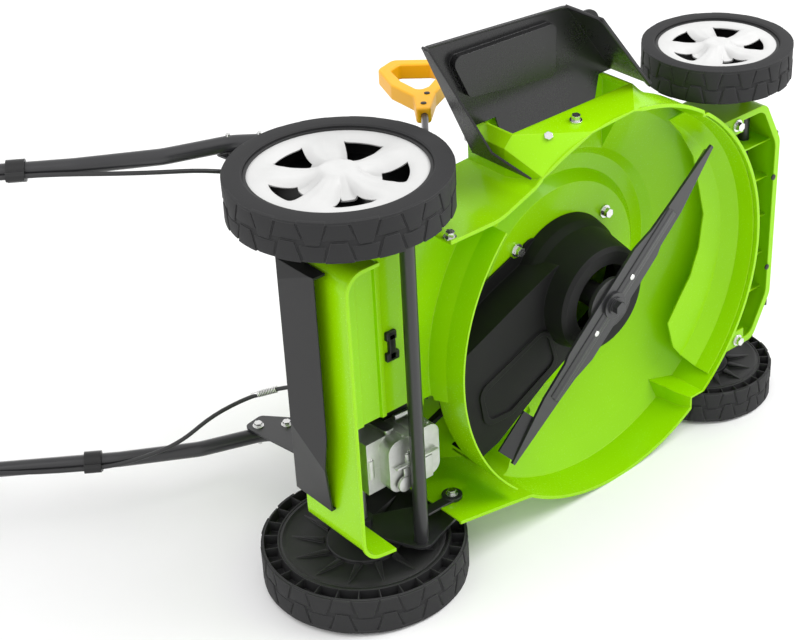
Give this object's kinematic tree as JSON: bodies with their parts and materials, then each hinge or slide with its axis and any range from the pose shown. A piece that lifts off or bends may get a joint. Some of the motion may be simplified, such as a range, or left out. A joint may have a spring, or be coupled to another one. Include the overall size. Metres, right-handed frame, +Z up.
{
  "type": "push lawn mower",
  "caption": "Petrol rotary lawn mower with a round cutting deck, rear wheel drive, side discharge chute, rear flap and folding handle.",
  "frame": {"origin": "on the ground under the crankshaft's line, at the mid-plane between the wheels, with the mower standing on its wheels", "axes": "+X to the mower's left, +Y to the rear towards the handle, +Z up"},
  "size_m": [0.7159, 1.5201, 0.9772],
  "materials": {
    "green_paint": "gloss enamel on pressed steel",
    "green_moulding": "gloss moulded",
    "white_moulding": "satin moulded",
    "yellow_moulding": "satin moulded",
    "black_moulding": "satin moulded",
    "grey_moulding": "satin moulded",
    "black_rubber": "matt",
    "belt_rubber": "matt",
    "cable_jacket": "smooth jacket",
    "tyre_rubber": "matt moulded tread",
    "grip_foam": "closed-cell foam",
    "black_steel": "black powder coat",
    "bright_zinc": "bright zinc plate",
    "steel": "plain steel",
    "sintered_steel": "dark sintered",
    "heat_steel": "heat-tinted steel",
    "cast_aluminium": "as cast"
  },
  "bodies": {
    "deck": {"deck_shell": "green_paint", "front_bumper": "green_moulding", "front_baffle": "green_paint", "chamber_rear_wall": "green_paint", "discharge_ramp": "black_moulding", "belt_cover": "black_moulding", "deck_bolts": "bright_zinc", "crankcase": "cast_aluminium", "cylinder": "cast_aluminium", "engine_shroud": "black_moulding", "recoil_cover": "grey_moulding", "fuel_tank": "black_moulding", "air_filter": "black_moulding", "carburettor": "cast_aluminium", "muffler": "heat_steel", "filler_caps": "yellow_moulding", "drive_belt": "belt_rubber", "hinge_rods": "steel", "handle_brackets": "black_steel", "lower_handle": "black_steel", "fold_locks": "black_moulding", "cable_clips": "black_moulding", "control_cables": "cable_jacket"},
    "crank": {"crankshaft": "steel", "pulley_boss": "sintered_steel", "blade": "black_steel", "blade_bolt": "black_steel", "flywheel": "cast_aluminium"},
    "starter": {"starter_grip": "black_rubber"},
    "rear_carriage": {"rear_arms": "black_steel", "rear_height_bar": "black_steel", "height_lever": "black_steel", "lever_grip": "yellow_moulding", "gearbox_case": "cast_aluminium", "gearbox_cover": "cast_aluminium", "clutch_spring": "steel"},
    "gear_pulley": {"gearbox_pulley": "sintered_steel"},
    "clutch": {"clutch_arm": "steel"},
    "rear_shaft": {"drive_shaft": "steel"},
    "link": {"link_rod": "steel"},
    "front_carriage": {"front_axle": "black_steel"},
    "rear_door": {"rear_flap": "black_moulding"},
    "side_cover": {"side_flap": "black_moulding"},
    "chute": {"side_chute": "black_moulding"},
    "handle_top": {"upper_handle": "black_steel", "handle_grip": "grip_foam"},
    "stop_control": {"stop_bail": "black_steel"},
    "drive_control": {"drive_bail": "black_steel"},
    "front_left_wheel": {"front_left_tyre": "tyre_rubber", "front_left_rim": "black_moulding", "front_left_hubcap": "white_moulding"},
    "front_right_wheel": {"front_right_tyre": "tyre_rubber", "front_right_rim": "black_moulding", "front_right_hubcap": "white_moulding"},
    "rear_left_wheel": {"rear_left_tyre": "tyre_rubber", "rear_left_rim": "black_moulding", "rear_left_hubcap": "white_moulding"},
    "rear_right_wheel": {"rear_right_tyre": "tyre_rubber", "rear_right_rim": "black_moulding", "rear_right_hubcap": "white_moulding"}
  },
  "joints": [
    {"name": "crank_spin", "type": "hinge", "parent": "deck", "child": "crank", "pos_m": [0.0065, 0, 0.06], "axis": [0, 0, 1], "continuous": true},
    {"name": "rear_height", "type": "hinge", "parent": "deck", "child": "rear_carriage", "pos_m": [0, 0.262, 0.085], "axis": [1, 0, 0], "range_deg": [-14.5, 11], "deforming": ["drive_belt", "control_cables"]},
    {"name": "front_height", "type": "hinge", "parent": "deck", "child": "front_carriage", "pos_m": [0, -0.303, 0.088], "axis": [1, 0, 0], "range_deg": [-36.3, 27.6]},
    {"name": "link_swing", "type": "hinge", "parent": "rear_carriage", "child": "link", "pos_m": [0.2405, 0.262, 0.21], "axis": [1, 0, 0], "range_deg": [-11.1, 14.6]},
    {"name": "gear_pulley_spin", "type": "hinge", "parent": "rear_carriage", "child": "gear_pulley", "pos_m": [0.105, 0.312, 0.136], "axis": [0, 0, 1], "continuous": true},
    {"name": "drive_shaft_spin", "type": "hinge", "parent": "rear_carriage", "child": "rear_shaft", "pos_m": [0, 0.3726, 0.1393], "axis": [1, 0, 0], "continuous": true},
    {"name": "clutch_pull", "type": "hinge", "parent": "rear_carriage", "child": "clutch", "pos_m": [0.068, 0.354, 0.1], "axis": [1, 0, 0], "range_deg": [0, 14], "stiffness_Nm_per_rad": 0.4},
    {"name": "starter_pull", "type": "slide", "parent": "deck", "child": "starter", "axis": [0, 1, 0], "range_m": [0, 0.45], "stiffness_N_per_m": 25},
    {"name": "rear_flap_lift", "type": "hinge", "parent": "deck", "child": "rear_door", "pos_m": [0, 0.38, 0.254], "axis": [1, 0, 0], "range_deg": [0, 80], "stiffness_Nm_per_rad": 0.8, "springref_deg": -28.65},
    {"name": "side_flap_lift", "type": "hinge", "parent": "deck", "child": "side_cover", "pos_m": [-0.2885, 0, 0.158], "axis": [0, 1, 0], "range_deg": [0, 35], "stiffness_Nm_per_rad": 0.2, "springref_deg": -28.65},
    {"name": "chute_off", "type": "slide", "parent": "deck", "child": "chute", "axis": [-1, 0, 0], "range_m": [0, 0.12]},
    {"name": "handle_fold", "type": "hinge", "parent": "deck", "child": "handle_top", "pos_m": [0, 0.76, 0.6585], "axis": [1, 0, 0], "range_deg": [0, 150], "deforming": ["control_cables"]},
    {"name": "stop_bail_squeeze", "type": "hinge", "parent": "handle_top", "child": "stop_control", "pos_m": [0, 1.00393, 0.83314], "axis": [1, 0, 0], "range_deg": [-27, 0], "stiffness_Nm_per_rad": 1.5, "springref_deg": 14.32},
    {"name": "drive_bail_squeeze", "type": "hinge", "parent": "handle_top", "child": "drive_control", "pos_m": [0, 0.98604, 0.82033], "axis": [1, 0, 0], "range_deg": [0, 27], "stiffness_Nm_per_rad": 1.5, "springref_deg": -14.32},
    {"name": "front_left_roll", "type": "hinge", "parent": "front_carriage", "child": "front_left_wheel", "pos_m": [0.2554, -0.2539, 0.1023], "axis": [1, 0, 0], "continuous": true},
    {"name": "front_right_roll", "type": "hinge", "parent": "front_carriage", "child": "front_right_wheel", "pos_m": [-0.2554, -0.2539, 0.1023], "axis": [1, 0, 0], "continuous": true},
    {"name": "rear_left_roll", "type": "hinge", "parent": "rear_carriage", "child": "rear_left_wheel", "pos_m": [0.275, 0.3726, 0.1393], "axis": [1, 0, 0], "continuous": true},
    {"name": "rear_right_roll", "type": "hinge", "parent": "rear_carriage", "child": "rear_right_wheel", "pos_m": [-0.275, 0.3726, 0.1393], "axis": [1, 0, 0], "continuous": true}
  ],
  "couplings": [
    {"joint": "gear_pulley_spin", "follows": "crank_spin", "ratio": 0.51429},
    {"joint": "drive_shaft_spin", "follows": "crank_spin", "ratio": 0.025714},
    {"joint": "front_height", "follows": "rear_height", "ratio": 2.5},
    {"joint": "link_swing", "follows": "rear_height", "ratio": -1}
  ]
}
